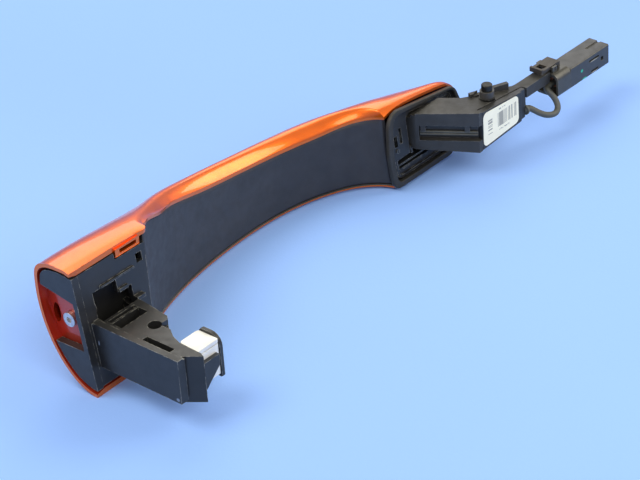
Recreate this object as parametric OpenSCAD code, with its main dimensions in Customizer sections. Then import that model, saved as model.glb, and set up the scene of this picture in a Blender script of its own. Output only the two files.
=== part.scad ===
// Pull-type car door handle with a hinge arm, a hook leg and an antenna module.
// X runs along the handle to its hinge end, Y points out of the door, Z is up.

/* [Bar] */
// Start of the finger arch, from the rear end face
arch_start = 34; // [32:1:36]
// Deepest point of the finger arch, from the rear end face
arch_mid = 120; // [115:1:125]
// End of the finger arch, from the rear end face
arch_end = 176; // [174:1:178]
// Depth of the finger arch
arch_depth = 28.5; // [26:0.5:30]
// Wall of the painted shell
shell_wall = 2.2; // [1.8:0.1:2.6]
// Wall of the grip cover
grip_wall = 2; // [1.6:0.1:2.4]

/* [Leg] */
// Reach of the hook leg behind the door plane
leg_reach = 38.5; // [37:0.5:40]
// Thickness of the leg's side blade
blade = 3.4; // [3:0.1:3.6]
// Top of the leg above the lower edge of the handle
leg_top = 25.6; // [25:0.1:26]
// Bottom of the leg above the lower edge of the handle
leg_bottom = 8; // [7.5:0.1:8.5]

/* [Hinge arm] */
// Distance from the rear end face to the hinge pin
pin_x = 217.5; // [216:0.5:219]
// Distance of the hinge pin behind the door plane
pin_back = 11.2; // [11:0.1:11.5]
// Radius of the hinge pin
pin_r = 2.1; // [1.9:0.05:2.15]
// Outside radius of the hinge bushes
bush_r = 3; // [2.9:0.05:3.1]
// Radial running clearance between pin and bush
bush_gap = 0.05; // [0.03:0.01:0.08]

/* [Lead and connector] */
// Diameter of the short lead
lead_d = 2.6; // [2.4:0.1:2.8]
// Length of the connector housing
plug_length = 27; // [26:0.5:28]
// Width of the connector housing
plug_width = 10.4; // [10:0.1:10.6]
// Height of the connector housing
plug_height = 9.2; // [9:0.1:9.4]

/* [Hidden] */

fine = 40;
gap = 0.15;                    // assembly gap between neighbouring pieces
pin_y = -pin_back;
stub_z = 31;                   // middle of the hinge pin's free upper end
bar_end = 222.5;               // tip of the front foot
rear_tilt = 0.15;              // the rear foot's door plane leans out by this much per mm of height
front_tilt = 0.12;             // and the front foot's by this much
front_plane = 2.35;            // the front foot's door plane at its lower edge

// Curves along the bar: pairs of distance from the rear face and value.
low_z = -1.3;                  // lower edge of the front foot
low_line = [[0, -2.4], [34, -1.9], [63, low_z], [222.5, low_z]];
top_line = [[0, 48.8], [36, 48.4], [63, 44.3], [90, 38.3], [115, 34], [137, 31.3], [155, 31],
            [170, 32.2], [184, 32.8], [207, 30.4], [222.5, 28.2]];
outer_line = [[0, 26], [33, 29.6], [63, 37.4], [90, 42.2], [120, 44.5], [140, 43], [157, 38.2],
              [170, 32.6], [187, 25.2], [207, 17], [219, 12.4], [222.5, 10]];
widest_line = [[0, 36], [33, 32], [63, 20], [90, 17.5], [120, 16], [155, 15], [187, 14], [222.5, 13]];
top_power = [[0, 4], [12, 3.6], [40, 2.3], [63, 2], [115, 2], [140, 2.3], [155, 2.8], [187, 3],
             [222.5, 3.4]];
// The outer skin starts to round off at this distance from the door plane
root_line = [[0, 0], [33, 3], [63, 20], [90, 26.8], [120, 28.5], [140, 27.6], [157, 22], [170, 13],
             [187, 5], [222.5, 3]];
low_power = 1.9;
// How far the upper lip rolls down towards the finger arch, and the width of that roll
drop_line = [[0, 0.7], [30, 0.7], [44, 0.8], [63, 4.4], [90, 6], [115, 5.6], [137, 4.5], [155, 3.8],
             [170, 3.2], [184, 1.2], [222.5, 1]];
function roll(x) = 3.5 + 3.5 * blend(x, 36, 64) - 2.5 * blend(x, 150, 180);
function rolled(x, d) = curve(drop_line, x) * pow(1 - min(max(d, 0) / roll(x), 1), 2);

// ---------- curve functions ----------

function knot(k, x, i = 0) = (i >= len(k) - 2 || x < k[i + 1][0]) ? i : knot(k, x, i + 1);
function rise(k, a, b) = (k[b][1] - k[a][1]) / (k[b][0] - k[a][0]);
function slope(k, i) = rise(k, max(i - 1, 0), min(i + 1, len(k) - 1));
// Smooth curve through the pairs of k
function curve(k, x) =
    let (i = knot(k, x), w = k[i + 1][0] - k[i][0], t = (x - k[i][0]) / w)
    let (u = t * t, v = u * t)
    (2 * v - 3 * u + 1) * k[i][1] + (v - 2 * u + t) * w * slope(k, i)
    + (3 * u - 2 * v) * k[i + 1][1] + (v - u) * w * slope(k, i + 1);

// The finger arch is a quarter superellipse on each side of its deepest point.
function arch_power(a) = a < 90 ? 1.93 : 2.1;
function arch_reach(a) = a < 90 ? arch_mid - arch_start : arch_end - arch_mid;
function arch_point(a) =
    let (p = 2 / arch_power(a), c = cos(a))
    [arch_mid - sign(c) * arch_reach(a) * pow(abs(c), p), arch_depth * pow(sin(a), p)];
function arch_normal(a) =
    let (n = arch_power(a), q = 2 - 2 / n, c = cos(a))
    let (v = [-sign(c) * pow(abs(c), q) / arch_reach(a), pow(sin(a), q) / arch_depth])
    v / norm(v);
// Point at a distance d outside the arch, on the painted side
function arch_offset(a, d) = arch_point(a) + d * arch_normal(a);

// Height of the arch at x, and zero outside it
function arch_y(x) =
    let (w = x < arch_mid ? arch_mid - arch_start : arch_end - arch_mid, n = x < arch_mid ? 1.93 : 2.1)
    let (u = abs(x - arch_mid) / w)
    u >= 1 ? 0 : arch_depth * pow(1 - pow(u, n), 1 / n);

function blend(x, a, b) = let (t = min(max((x - a) / (b - a), 0), 1)) t * t * (3 - 2 * t);
rim = 2;                       // thickness of the rubber surround under the front foot
function foot_y(x) = (front_plane + rim + 0.1) * blend(x, 150, 174);
mid_tilt = 0.03;               // the middle of the bar leans out by this much per mm of height
function tilt(x) = rear_tilt * (1 - blend(x, 34, 60)) + mid_tilt * blend(x, 34, 60)
                   + (front_tilt - mid_tilt) * blend(x, 150, 176);
// The arch's rear end leans forward along the bar by this much per mm of height
sweep = 0.13;
function sweep_at(x, z) = sweep * z * (1 - blend(x, 36, 84));
// Inner edge of the bar's section, below (z = 0) and at a height z
function low_edge(x, z = 0) = max(arch_y(x - sweep_at(x, z)), foot_y(x));
// The upper lip rounds back into the arch before this distance from the rear face
corner_x = 40.6;
corner_r = 3.6;
function cut_back(x) =
    let (u = min(max(x - corner_x + corner_r, 0), corner_r))
    x > 50 ? 0 : corner_r - sqrt(corner_r * corner_r - u * u);
// Beyond that corner the lip stands this far over the grip's face
function lip_over(x) = 1.9 * blend(x, 40.5, 44) * (1 - blend(x, 50, 70));
// The nose closes the front foot in height
nose_start = 206;
function nose(x) = x <= nose_start ? 1
    : sqrt(max(1 - pow((x - nose_start) / (bar_end - nose_start), 4.5), 0.03));
nose_level = 12.5;
function nosed(x, z) = nose_level + (z - nose_level) * nose(x);

// The wall thins to this share of its thickness at its lower and upper inner edges
function edge_share(x, low) = 1 - (low ? 0.72 : 0.45) * blend(x, 28, 44);
// and towards the rear end face
function end_share(x) = 0.65 + 0.35 * blend(x, 0, 4);

// One point of the bar's outer skin, moved inwards by depth; a runs from the
// lower inner edge (0) round the outside (90) to the upper inner edge (180)
function skin(x, a, depth) =
    let (low = a <= 90, thin = edge_share(x, low))
    let (w = depth * end_share(x) * (thin + (1 - thin) * pow(sin(a), 0.5)))
    let (zw = curve(widest_line, x), n = low ? low_power : curve(top_power, x))
    let (lean = low ? 0 : tilt(x) * curve(top_line, x), root = curve(root_line, x) + lean)
    let (edge = low_edge(x, low ? 0 : curve(top_line, x)) + lean, outer = curve(outer_line, x) - w)
    let (tall = (low ? zw - curve(low_line, x) : curve(top_line, x) - zw) - w)
    let (rim_y = low ? edge : max(edge - lip_over(x), cut_back(x) + lean))
    let (y = rim_y + (outer - rim_y) * pow(sin(a), 2 / n), t = max(0, (y - root) / (outer - root)))
    let (z = zw - sign(cos(a)) * tall * pow(max(0, 1 - pow(t, n)), 1 / n) - (low ? 0 : rolled(x, y - edge)))
    [x, y, nosed(x, z)];

// Stations along the bar, close together where the arch is steep
stations = concat([0, 3.4], [for (x = [6.8:6.8:arch_start - 1]) x],
                  [for (a = [0:5:15]) arch_point(a)[0]], [38, 38.9, 39.7, 40.3, 41.1],
                  [for (a = [25:5:90]) arch_point(a)[0]],
                  [for (a = [96:6:168]) arch_point(a)[0]],
                  [for (x = [arch_end:4:nose_start]) x],
                  [208.5, 211, 213.5, 216, 218, 220, 221.5, bar_end]);
skin_angles = concat([for (a = [0:9:81]) a], [for (a = [90:8:162]) a], [168, 172.5, 176.5, 180]);

// Solid between two skins along the bar; w0 and w1 are the depths of its faces
module skin_band(xs, angles, w0, w1) {
    n = len(angles);
    ring = 2 * n;
    points = [for (x = xs)
              each concat([for (a = angles) skin(x, a, w0)],
                          [for (i = [n - 1:-1:0]) skin(x, angles[i], w1)])];
    last = (len(xs) - 1) * ring;
    sides = [for (s = [0:len(xs) - 2], i = [0:ring - 1])
             let (a = s * ring + i, b = s * ring + (i + 1) % ring)
             each [[a, b + ring, b], [a, a + ring, b + ring]]];
    rear_cap = [for (i = [0:n - 2]) each [[i, ring - 2 - i, ring - 1 - i], [i, i + 1, ring - 2 - i]]];
    front_cap = [for (f = rear_cap) [for (v = [2:-1:0]) f[v] + last]];
    polyhedron(points = points, faces = concat(sides, rear_cap, front_cap), convexity = 8);
}

// ---------- outline helpers ----------

// Corner c of a closed outline of [x, y, radius] turned into an arc
function corner(pts, i, steps) =
    let (n = len(pts), p = [pts[i][0], pts[i][1]])
    let (q = pts[(i + n - 1) % n], s = pts[(i + 1) % n])
    let (u = [q[0], q[1]] - p, v = [s[0], s[1]] - p)
    let (a = u / norm(u), b = v / norm(v), half = acos(max(min(a * b, 1), -1)) / 2)
    let (r = pts[i][2], m = (a + b) / norm(a + b), c = p + m * r / sin(half))
    let (from = p + a * r / tan(half) - c, to = p + b * r / tan(half) - c)
    [for (k = [0:steps]) let (w = from * (1 - k / steps) + to * k / steps) c + w / norm(w) * r];
function rounded(pts, steps = 5) = [for (i = [0:len(pts) - 1]) each pts[i][2] > 0
                                    ? corner(pts, i, steps) : [[pts[i][0], pts[i][1]]]];

module placed() {
    translate([-pin_x, -pin_y, -stub_z]) children();
}
// Extrude an outline of [y, z] along X, and one of [x, z] along Y
module along_x(x0, length) {
    translate([x0, 0, 0]) rotate([90, 0, 90]) linear_extrude(length) children();
}
module along_y(y0, length) {
    translate([0, y0 + length, 0]) rotate([90, 0, 0]) linear_extrude(length) children();
}
module box(x, y, z) {
    translate([x[0], y[0], z[0]]) cube([x[1] - x[0], y[1] - y[0], z[1] - z[0]]);
}
module rod_x(x, y, z, r) {
    translate([x[0], y, z]) rotate([0, 90, 0]) cylinder(h = x[1] - x[0], r = r, $fn = fine);
}
module rod_y(x, y, z, r) {
    translate([x, y[1], z]) rotate([90, 0, 0]) cylinder(h = y[1] - y[0], r = r, $fn = fine);
}
module rod_z(x, y, z, r) {
    translate([x, y, z[0]]) cylinder(h = z[1] - z[0], r = r, $fn = fine);
}

// ---------- painted shell and grip ----------

web_x = 3.8;                   // the painted end web stands back from the end face
screw_y = 12.6;
screw_z = 25.6;
screw_r = 1.85;

module end_outline(x, w, low_z, high_z) {
    pts = [for (a = [0:6:180]) let (p = skin(x, a, w)) [p[1], p[2]]];
    intersection() {
        polygon(pts);
        polygon([[-2, low_z], [60, low_z], [60, high_z], [-2, high_z]]);
    }
}

module outer_shell() {
    color([0.80, 0.22, 0.06]) placed() {
        difference() {
            union() {
                skin_band(stations, skin_angles, 0, shell_wall);
                difference() {
                    along_x(web_x, 1.8) end_outline(web_x, shell_wall - 0.6, 14, 40);
                    // room for the bracket's plate on the door side
                    plate([web_x - 1, web_x + 3], [-6, plate_wall + 0.1], [0, 48]);
                }
                // flange along the top of the rear foot
                box([22.6, 35], [6.7, 8.7], [43.7, 46.9]);
            }
            rod_x([web_x - 1, web_x + 3], screw_y, screw_z, screw_r + 0.1);
            box([25, 33.5], [6, 9.5], [44.4, 45.9]);
        }
    }
}

grip_low = 3;                  // arch angles where the cover starts and ends
grip_high = 170;
grip_steps = 44;

// Height of the shell's inner face at a depth d from its inner edge, below and above
function wall_angle(x, d, n, edge) =
    asin(pow(min(1, max(d, 0) / (curve(outer_line, x) - shell_wall - edge)), n / 2));
function shell_low(x, d) = skin(x, wall_angle(x, d, low_power, low_edge(x)), shell_wall)[2];
function shell_high(x, d) =
    let (edge = low_edge(x, curve(top_line, x)) - lip_over(x))
    skin(x, 180 - wall_angle(x, d + lip_over(x), curve(top_power, x), edge), shell_wall)[2];
// Position along the bar of an arch point once it is swept up to a height z
function swept(x, z) = x + sweep_at(x + sweep_at(x, z), z);

// Section of the cover: offset into the bar, share of the height, and what is added to it
grip_section = [[0.8, 0, 0.1], [0.25, 0, 0.5], [0, 0, 1.6], [0, 0.35, 0], [0, 0.65, 0], [0, 1, -2.6],
                [0.3, 1, -1], [1, 1, -0.35], [grip_wall, 1, -0.35], [grip_wall, 0.65, 0],
                [grip_wall, 0.35, 0], [grip_wall, 0, 0.2]];
function grip_point(a, s) =
    let (p = arch_offset(a, s[0]), d = p[1] - low_edge(p[0]))
    let (low = shell_low(p[0], d), high = shell_high(swept(p[0], curve(top_line, p[0])), d))
    let (z = low + s[1] * (high - low) + s[2], x = swept(p[0], z))
    [x, p[1] + tilt(x) * z, z];
function grip_ring(a) = [for (s = grip_section) grip_point(a, s)];

module grip_cover() {
    color([0.09, 0.09, 0.10]) placed() {
        step = (grip_high - grip_low) / grip_steps;
        rings = [for (i = [0:grip_steps]) each grip_ring(grip_low + step * i)];
        ring = 12;
        last = grip_steps * ring;
        sides = [for (s = [0:grip_steps - 1], i = [0:ring - 1])
                 let (a = s * ring + i, b = s * ring + (i + 1) % ring)
                 each [[a, b, b + ring], [a, b + ring, a + ring]]];
        cap = [for (i = [1:ring - 2]) [0, i + 1, i]];
        far_cap = [for (f = cap) [f[0] + last, f[2] + last, f[1] + last]];
        polyhedron(points = rings, faces = concat(sides, cap, far_cap), convexity = 6);
    }
}

// ---------- core of the bar ----------

core_thick = 5.5;
core_z = [10, 22];
lap_z = 15;                    // height of the half-lap joints at the core's ends
rear_lap = [20, 27];           // arch angles of the two half-laps
front_lap = [150, 159];
lap_gap = 0.5;                 // end gap of the half-laps, in degrees of arch
lap_screw_r = 1.2;

// Everything inside the bar leans with its middle
module leaned() {
    rotate([-atan(mid_tilt), 0, 0]) children();
}
// Offset of the core's inner side from the arch; it stands clear of the leaning grip
function core_in(a) = grip_wall + 0.5
                      + core_z[1] * (tilt(arch_point(a)[0]) - mid_tilt) * arch_normal(a)[1];
// Band that follows the core between two angles; d holds the offsets from the core's inner side
module arch_band(a, d, z) {
    n = max(3, ceil((a[1] - a[0]) / 4));
    angles = [for (i = [0:n]) a[0] + (a[1] - a[0]) * i / n];
    inner = [for (i = [0:n]) arch_offset(angles[i], core_in(angles[i]) + d[0])];
    outer = [for (i = [n:-1:0]) arch_offset(angles[i], core_in(angles[i]) + d[1])];
    leaned() translate([0, 0, z[0]]) linear_extrude(z[1] - z[0]) polygon(concat(inner, outer));
}
function lap_centre(lap) =
    let (a = (lap[0] + lap[1]) / 2) arch_offset(a, core_in(a) + core_thick / 2);
module lap_hole(lap, z) {
    leaned() rod_z(lap_centre(lap)[0], lap_centre(lap)[1], z, lap_screw_r);
}

antenna_x = [98, 138];
antenna_y = [32, 34];
antenna_z = [13, 16.4];
winding_wall = 0.35;

module bar_core() {
    color([0.13, 0.13, 0.14]) placed() {
        difference() {
            union() {
                arch_band([rear_lap[1], front_lap[0]], [0, core_thick], core_z);
                arch_band([rear_lap[0] + lap_gap, rear_lap[1]], [0, core_thick], [core_z[0], lap_z]);
                arch_band([front_lap[0], front_lap[1] - lap_gap], [0, core_thick], [core_z[0], lap_z]);
            }
            leaned() box([antenna_x[0] - 0.5, antenna_x[1] + 0.5],
                         [antenna_y[0] - 0.4, antenna_y[1] + 0.4], [antenna_z[0] - 0.4, core_z[1] + 1]);
            leaned() for (x = [62, 76, 152])
                rod_z(x, arch_y(x) + 6, [core_z[0] + 3, core_z[1] + 1], 1.4);
            for (lap = [rear_lap, front_lap])
                lap_hole(lap, [core_z[0] - 1, lap_z + 1]);
        }
    }
}

module core_screws() {
    color([0.70, 0.70, 0.72]) placed() {
        for (lap = [rear_lap, front_lap]) {
            c = lap_centre(lap);
            lap_hole(lap, [core_z[0] + 1, core_z[1] + 0.2]);
            leaned() rod_z(c[0], c[1], [core_z[1] + 0.1, core_z[1] + 1.5], 2.2);
        }
    }
}

module antenna_core() {
    color([0.25, 0.25, 0.27]) placed() leaned() box(antenna_x, antenna_y, antenna_z);
}

module antenna_winding() {
    color([0.72, 0.38, 0.15]) placed() leaned() {
        difference() {
            box([104, 132], [antenna_y[0] - winding_wall, antenna_y[1] + winding_wall],
                [antenna_z[0] - winding_wall, antenna_z[1] + winding_wall]);
            box([103, 133], antenna_y, antenna_z);
        }
    }
}

module lock_sensor() {
    color([0.78, 0.55, 0.25]) placed()
        arch_band([96, 124], [core_thick + 0.1, core_thick + 0.5], [10, 19]);
}

module unlock_sensor() {
    color([0.78, 0.55, 0.25]) placed() arch_band([60, 116], [-0.45, -0.05], [9, 20]);
}

// ---------- rear foot with the hook leg ----------

plate_wall = 2.4;
plate_x = [0.5, 31.9];
function plate_y(z) = rear_tilt * z;
// Slab on the tilted door plane: x range, depth range behind the plane, z range
module plate(x, d, z) {
    along_x(x[0], x[1] - x[0]) polygon([[plate_y(z[0]) + d[0], z[0]], [plate_y(z[0]) + d[1], z[0]],
                                        [plate_y(z[1]) + d[1], z[1]], [plate_y(z[1]) + d[0], z[1]]]);
}

leg_x = 5;
tip_y = -leg_reach;
leg_plan = [[leg_x, 4.2], [leg_x, tip_y], [leg_x + 3.6, tip_y], [8.8, tip_y + 2], [13.6, -43],
            [14.6, -40.6], [14.6, -38.8], [15, -30], [16.6, -25.4], [20.4, -20], [24.9, -14.6],
            [25.6, -9.4], [26.8, -1], [27.2, 4.2]];
hook_y = [-40.6, -38.9];       // gusset that closes the hook's open side
lip_x = [25.7, 27.2];

module leg() {
    difference() {
        union() {
            translate([0, 0, leg_bottom]) linear_extrude(leg_top - leg_bottom) polygon(leg_plan);
            // the side blade stands a little higher than the web
            box([leg_x, leg_x + blade - 0.6], [tip_y, 3], [leg_bottom, leg_top + 0.6]);
            // the hook's corner block reaches lower
            translate([0, 0, leg_bottom - 2]) linear_extrude(3)
                polygon([[8.8, tip_y + 2], [13.6, -43], [14.6, -40.6], [14.6, -35], [9.6, -34]]);
        }
        box([leg_x + 4, 25], [1.7, 3.2], [14, leg_top + 2]);
        box([leg_x + 4.4, 23], [-6.8, 0.4], [12, leg_top + 2]);
        translate([leg_x + blade - 0.6, -31.5, 15]) cube([3.2, 13.5, leg_top]);
        rod_z(18, -15, [18, leg_top + 2], 2.7);
        translate([19.2, -24.2, leg_top - 2.6]) cube([6, 8, 5]);
        // ribs are cored from below as well
        box([leg_x + 4.4, 15.6], [-17.5, -9.5], [leg_bottom - 1, leg_bottom + 6]);
        box([leg_x + 4.4, 13], [-33, -20], [leg_bottom - 1, leg_bottom + 6]);
    }
    rod_z(18, -15, [17, leg_top - 3], 1.2);
    // rib across the pocket at the leg's root
    box([leg_x + 4.2, 23.2], [-1.9, -1], [11.8, leg_top - 0.2]);
}

module hook() {
    along_y(hook_y[0], hook_y[1] - hook_y[0])
        polygon([[13.8, 20.2], [23.8, 20.2], [23.8, 15.8], [16.2, 9], [13.8, 9]]);
    along_x(lip_x[0], lip_x[1] - lip_x[0])
        polygon(rounded([[hook_y[1] - 0.2, 8.4, 0.5], [hook_y[1] - 0.2, 26, 4.6],
                         [-29.4, 26, 1.5], [-29.4, 8.4, 1]]));
    box([13, lip_x[1]], [-35.4, -32.2], [13, 19]);
}

module rear_bracket() {
    color([0.11, 0.11, 0.12]) placed() {
        difference() {
            union() {
                along_x(plate_x[0], 3) end_outline(4.5, shell_wall + 0.4, low_z, 50);
                plate([plate_x[0], web_x - 0.1], [0, 4.6], [1, 45.6]);
                plate(plate_x, [0.2, plate_wall], [0.7, 45.6]);
                // the plate follows the leaning end of the finger arch
                intersection() {
                    plate([29, 39], [0.2, plate_wall], [0.7, 45.2]);
                    along_y(-2, 20) polygon([[28, 0], [31.9, 0], [37.6, 46], [28, 46]]);
                }
                // ridges and tabs on the door side
                plate([12.5, 29.5], [-0.7, 0.3], [36.6, 37.3]);
                plate([20.5, 25], [-0.7, 2], [31, 32.2]);
                arch_band([5, rear_lap[0]], [0, core_thick], core_z);
                arch_band([rear_lap[0] - 0.2, rear_lap[1] - lap_gap], [0, core_thick],
                          [lap_z + 0.1, core_z[1]]);
                // inner floor of the foot behind the leg
                box([6, 29.5], [11, 12.5], [6, 38]);
                for (x = [6.4, 29.6])
                    intersection() {
                        box([x, x + 1.4], [2, 12.5], [6, 38]);
                        plate([x - 1, x + 3], [0.3, 20], [0, 50]);
                    }
                box([6.4, 31], [2, 5.4], [24.6, 26]);
                // boss for the screw that holds the shell's end web
                rod_x([web_x + 1.9, 13], screw_y, screw_z, 3.4);
                leg();
                hook();
            }
            rod_x([web_x, 11.5], screw_y, screw_z, screw_r);
            along_x(-1, web_x + 0.95)
                polygon([[40, 40.5], [7.6, 35], [4.6, 15.8], [40, 14.4]]);
            plate([8.6, 27], [-2, plate_wall + 1], [22, 30.8]);
            plate([8.6, 20.3], [-2, plate_wall + 1], [30.7, 36.2]);
            plate([31.8, 34.8], [-2, plate_wall + 1], [37, 40.6]);
            box([22, 40], [4, 12], [43.1, 48]);
            lap_hole(rear_lap, [lap_z, core_z[1] + 1]);
        }
    }
}

module shell_screw() {
    color([0.74, 0.73, 0.72]) placed() {
        difference() {
            union() {
                rod_x([web_x - 1.7, web_x - 0.05], screw_y, screw_z, 2.9);
                rod_x([web_x - 0.1, 11], screw_y, screw_z, screw_r);
            }
            translate([web_x - 2, screw_y, screw_z]) rotate([0, 90, 0]) cylinder(h = 1.3, r = 1.3, $fn = 6);
        }
    }
}

pad_x = [15.6, lip_x[0] - 0.1];
pad_y = [hook_y[1] + 0.1, -29];
pad_z = [10, 25];

module hook_pad() {
    color([0.93, 0.93, 0.90]) placed() {
        difference() {
            translate([0, 0, pad_z[0]]) linear_extrude(pad_z[1] - pad_z[0])
                polygon(rounded([[pad_x[0] - 0.8, pad_y[0], 0.6], [pad_x[1], pad_y[0], 0.6],
                                 [pad_x[1], pad_y[1], 1.2], [pad_x[0] + 0.3, pad_y[1], 1.2]]));
            box([10, 30], [-35.5, -32.1], [12.9, 19.1]);
            box([10, 30], [pad_y[0] - 1, pad_y[0] + 1], [22.9, 23.3]);
        }
    }
}

// ---------- front foot ----------

foot_outline = [[176, 32.2, 7], [217.5, 27, 5], [222.4, 13, 6], [211, low_z, 5], [173.6, low_z, 4],
                [173, 14, 12]];
tub_outline = [[180, 28.9, 4.5], [216, 24.6, 3], [219.4, 13, 4], [209.8, 1.2, 3], [178.6, 1.2, 2.5],
               [177.6, 13.6, 9]];
// The surround's opening, and the plate that closes the end of the finger arch
mouth_outline = [[178.4, 29.6, 4.5], [216.4, 25.9, 3], [219.2, 13, 4], [209.6, 1.1, 3], [176.4, 1.1, 2.5],
                 [175.8, 13.6, 9]];
end_plate = [[178.4, 28.8, 4.5], [190, 27.4, 1], [190, 9.6, 1], [176.2, 9.4, 0.8], [176, 15, 5]];
// Outline moved inwards by d; its arcs shrink by the same amount
function inset(pts, d) =
    [for (i = [0:len(pts) - 1])
     let (n = len(pts), p = pts[i], q = pts[(i + n - 1) % n], s = pts[(i + 1) % n])
     let (u = [p[0] - q[0], p[1] - q[1]], v = [s[0] - p[0], s[1] - p[1]])
     let (a = [u[1], -u[0]] / norm(u), b = [v[1], -v[0]] / norm(v), m = (a + b) / (1 + a * b))
     [p[0] + m[0] * d, p[1] + m[1] * d, max(p[2] - d, 0.6)]];
// Stand a slab on the front foot's door plane: outline of [x, z], depths from the plane
module on_foot(d0, d1) {
    translate([0, front_plane, 0]) rotate([-atan(front_tilt), 0, 0]) along_y(d0, d1 - d0) children();
}
module foot_box(x, d, z) {
    on_foot(d[0], d[1]) translate([x[0], z[0]]) square([x[1] - x[0], z[1] - z[0]]);
}

module front_surround() {
    color([0.16, 0.16, 0.17]) placed() {
        on_foot(0, rim) difference() {
            polygon(rounded(foot_outline));
            polygon(rounded(mouth_outline));
        }
    }
}

deep_outline = [[186.6, 27.7, 3], [212, 24.2, 3], [214, 13, 4], [203.5, 3.7, 3], [179.8, 2.6, 2],
                [179, 9.8, 1.5], [186.3, 10.2, 0.8]];
tub_wall = 1.2;
tub_step = 4;                  // the tub narrows at this depth behind the door plane
tub_floor = 6;                 // depth of its floor
arm_root_x = [190.2, 209];

module front_bracket() {
    color([0.10, 0.10, 0.11]) placed() {
        difference() {
            union() {
                on_foot(rim + 0.1, tub_step) difference() {
                    polygon(rounded(tub_outline));
                    polygon(rounded(inset(tub_outline, tub_wall)));
                }
                on_foot(rim + 0.1, rim + 0.9) difference() {
                    polygon(rounded(end_plate));
                    polygon(rounded(inset(deep_outline, tub_wall)));
                }
                on_foot(tub_step - 1, tub_step) difference() {
                    polygon(rounded(tub_outline));
                    polygon(rounded(inset(deep_outline, tub_wall)));
                }
                on_foot(tub_step - 0.1, tub_floor) difference() {
                    polygon(rounded(deep_outline));
                    polygon(rounded(inset(deep_outline, tub_wall)));
                }
                on_foot(tub_floor - 0.1, tub_floor + 1.2) polygon(rounded(deep_outline));
                // stiffening ribs on the lower wall and a divider beside the arm
                for (z = [4.2:2:8.2])
                    foot_box([179.5, 207], [rim + 0.8, tub_floor], [z, z + 0.7]);
                foot_box([186.2, 187.3], [rim + 0.6, tub_floor], [9.5, 27.4]);
                foot_box([188.9, 189.9], [rim + 0.8, tub_floor], [8.4, 11.6]);
                arch_band([front_lap[1], 168], [0, core_thick], core_z);
                arch_band([front_lap[0] + lap_gap, front_lap[1] + 0.2], [0, core_thick],
                          [lap_z + 0.1, core_z[1]]);
            }
            foot_box([179, 181], [0, tub_floor + 3], [15.2, 20]);
            foot_box([182.5, 184], [0, tub_floor + 3], [15.6, 22.4]);
            lap_hole(front_lap, [lap_z, core_z[1] + 1]);
            for (z = arm_screw_z)
                on_foot(0, tub_floor + 3) translate([arm_screw_x, z]) circle(r = 1.1, $fn = fine);
        }
        for (p = [[180.2, 13.4], [197, 7.6]])
            on_foot(rim - 0.4, tub_floor) translate(p) circle(r = 0.9, $fn = fine);
    }
}

// ---------- hinge arm ----------

arm_screw_x = 206.9;
arm_screw_z = [12.5, 20.5];
strut_start = [188.6, 7];
strut_end = [204.2, -17.4];
module_y = -17.5;              // face of the electronics housing
pocket_y = -14.6;              // floor of the arm's pocket for it
module_x = [206.2, 235.6];
neck_end = 252.4;
neck_z = [19.4, 24];
arm_side = [[184, 10.4], [204, 8.6], [235.8, 10.5], [235.8, neck_z[0]], [neck_end, neck_z[0]],
            [neck_end, neck_z[1]], [236, neck_z[1]], [232, 24.5], [205, 26.8], [184, 25.8]];
arm_plan = [[190.2, 4.5], strut_end, [206, -17.4], [206, pocket_y], [235.8, pocket_y], [236.4, -17.1],
            [neck_end, -17], [neck_end, -11.4], [234, -11.4], [216, -5.2], [211, -2.6], [203, 7],
            [203, 11], [190.2, 11]];
chamfer = 0.3;                 // on the ends of the pin
stub_r = pin_r + 0.2;          // radius of the pin's free upper end
stub_tall = 2.4;
pin_z = [6.6, stub_z + stub_tall / 2 + chamfer];
boss_z = [9.1, 26.6];
upper_tall = 3;                // heights of the two bushes
lower_tall = 2.2;

// Local frame on the strut's visible side: x along it, y into it
module on_strut() {
    d = strut_end - strut_start;
    translate([strut_start[0], strut_start[1], 0]) rotate([0, 0, atan2(d[1], d[0])]) children();
}

module hinge_arm() {
    color([0.15, 0.15, 0.15]) placed() {
        difference() {
            union() {
                intersection() {
                    linear_extrude(40) polygon(arm_plan);
                    along_y(-25, 50) polygon(arm_side);
                }
                foot_box(arm_root_x, [tub_floor - 1.7, tub_floor - 0.15], [10.2, 22.6]);
                rod_z(pin_x, pin_y, boss_z, 3.3);
                // rail behind the pin and web under the neck
                difference() {
                    translate([213.5, -5.8, 20]) rotate([0, 0, -22]) cube([18, 1.8, 7.6]);
                    rod_z(pin_x, pin_y, [boss_z[1] - 0.1, 40], bush_r + 2.5);
                }
                box([235, 240.5], [-13.2, -11.6], [12, neck_z[0] + 1]);
            }
            on_strut() translate([4.4, -1, 14]) cube([28, 3.6, 6.8]);
            rod_z(pin_x, pin_y, [0, 40], pin_r);
            box([214, 230], [-9.5, -0.5], [13, 19]);
            // the root stays inside the tub
            foot_box([180, 215], [tub_floor - 0.15, 20], [0, 40]);
            foot_box([180, 215], [rim - 0.3, 20], [24, 40]);
            foot_box([180, 215], [-1, 20], [25.4, 40]);
            for (z = arm_screw_z)
                on_foot(0, tub_floor + 3) translate([arm_screw_x, z]) circle(r = 1.1, $fn = fine);
        }
        // lead clips across the channel
        for (x = [5, 23])
            on_strut() translate([x, 0.4, 18]) cube([2, 2.3, 3]);
    }
}

module arm_screws() {
    color([0.70, 0.70, 0.72]) placed() {
        for (z = arm_screw_z) {
            on_foot(tub_floor - 3.2, tub_floor - 1.7) translate([arm_screw_x, z]) circle(r = 2, $fn = fine);
            on_foot(tub_floor - 1.8, tub_floor + 1.4) translate([arm_screw_x, z]) circle(r = 1.1, $fn = fine);
        }
    }
}

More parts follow.
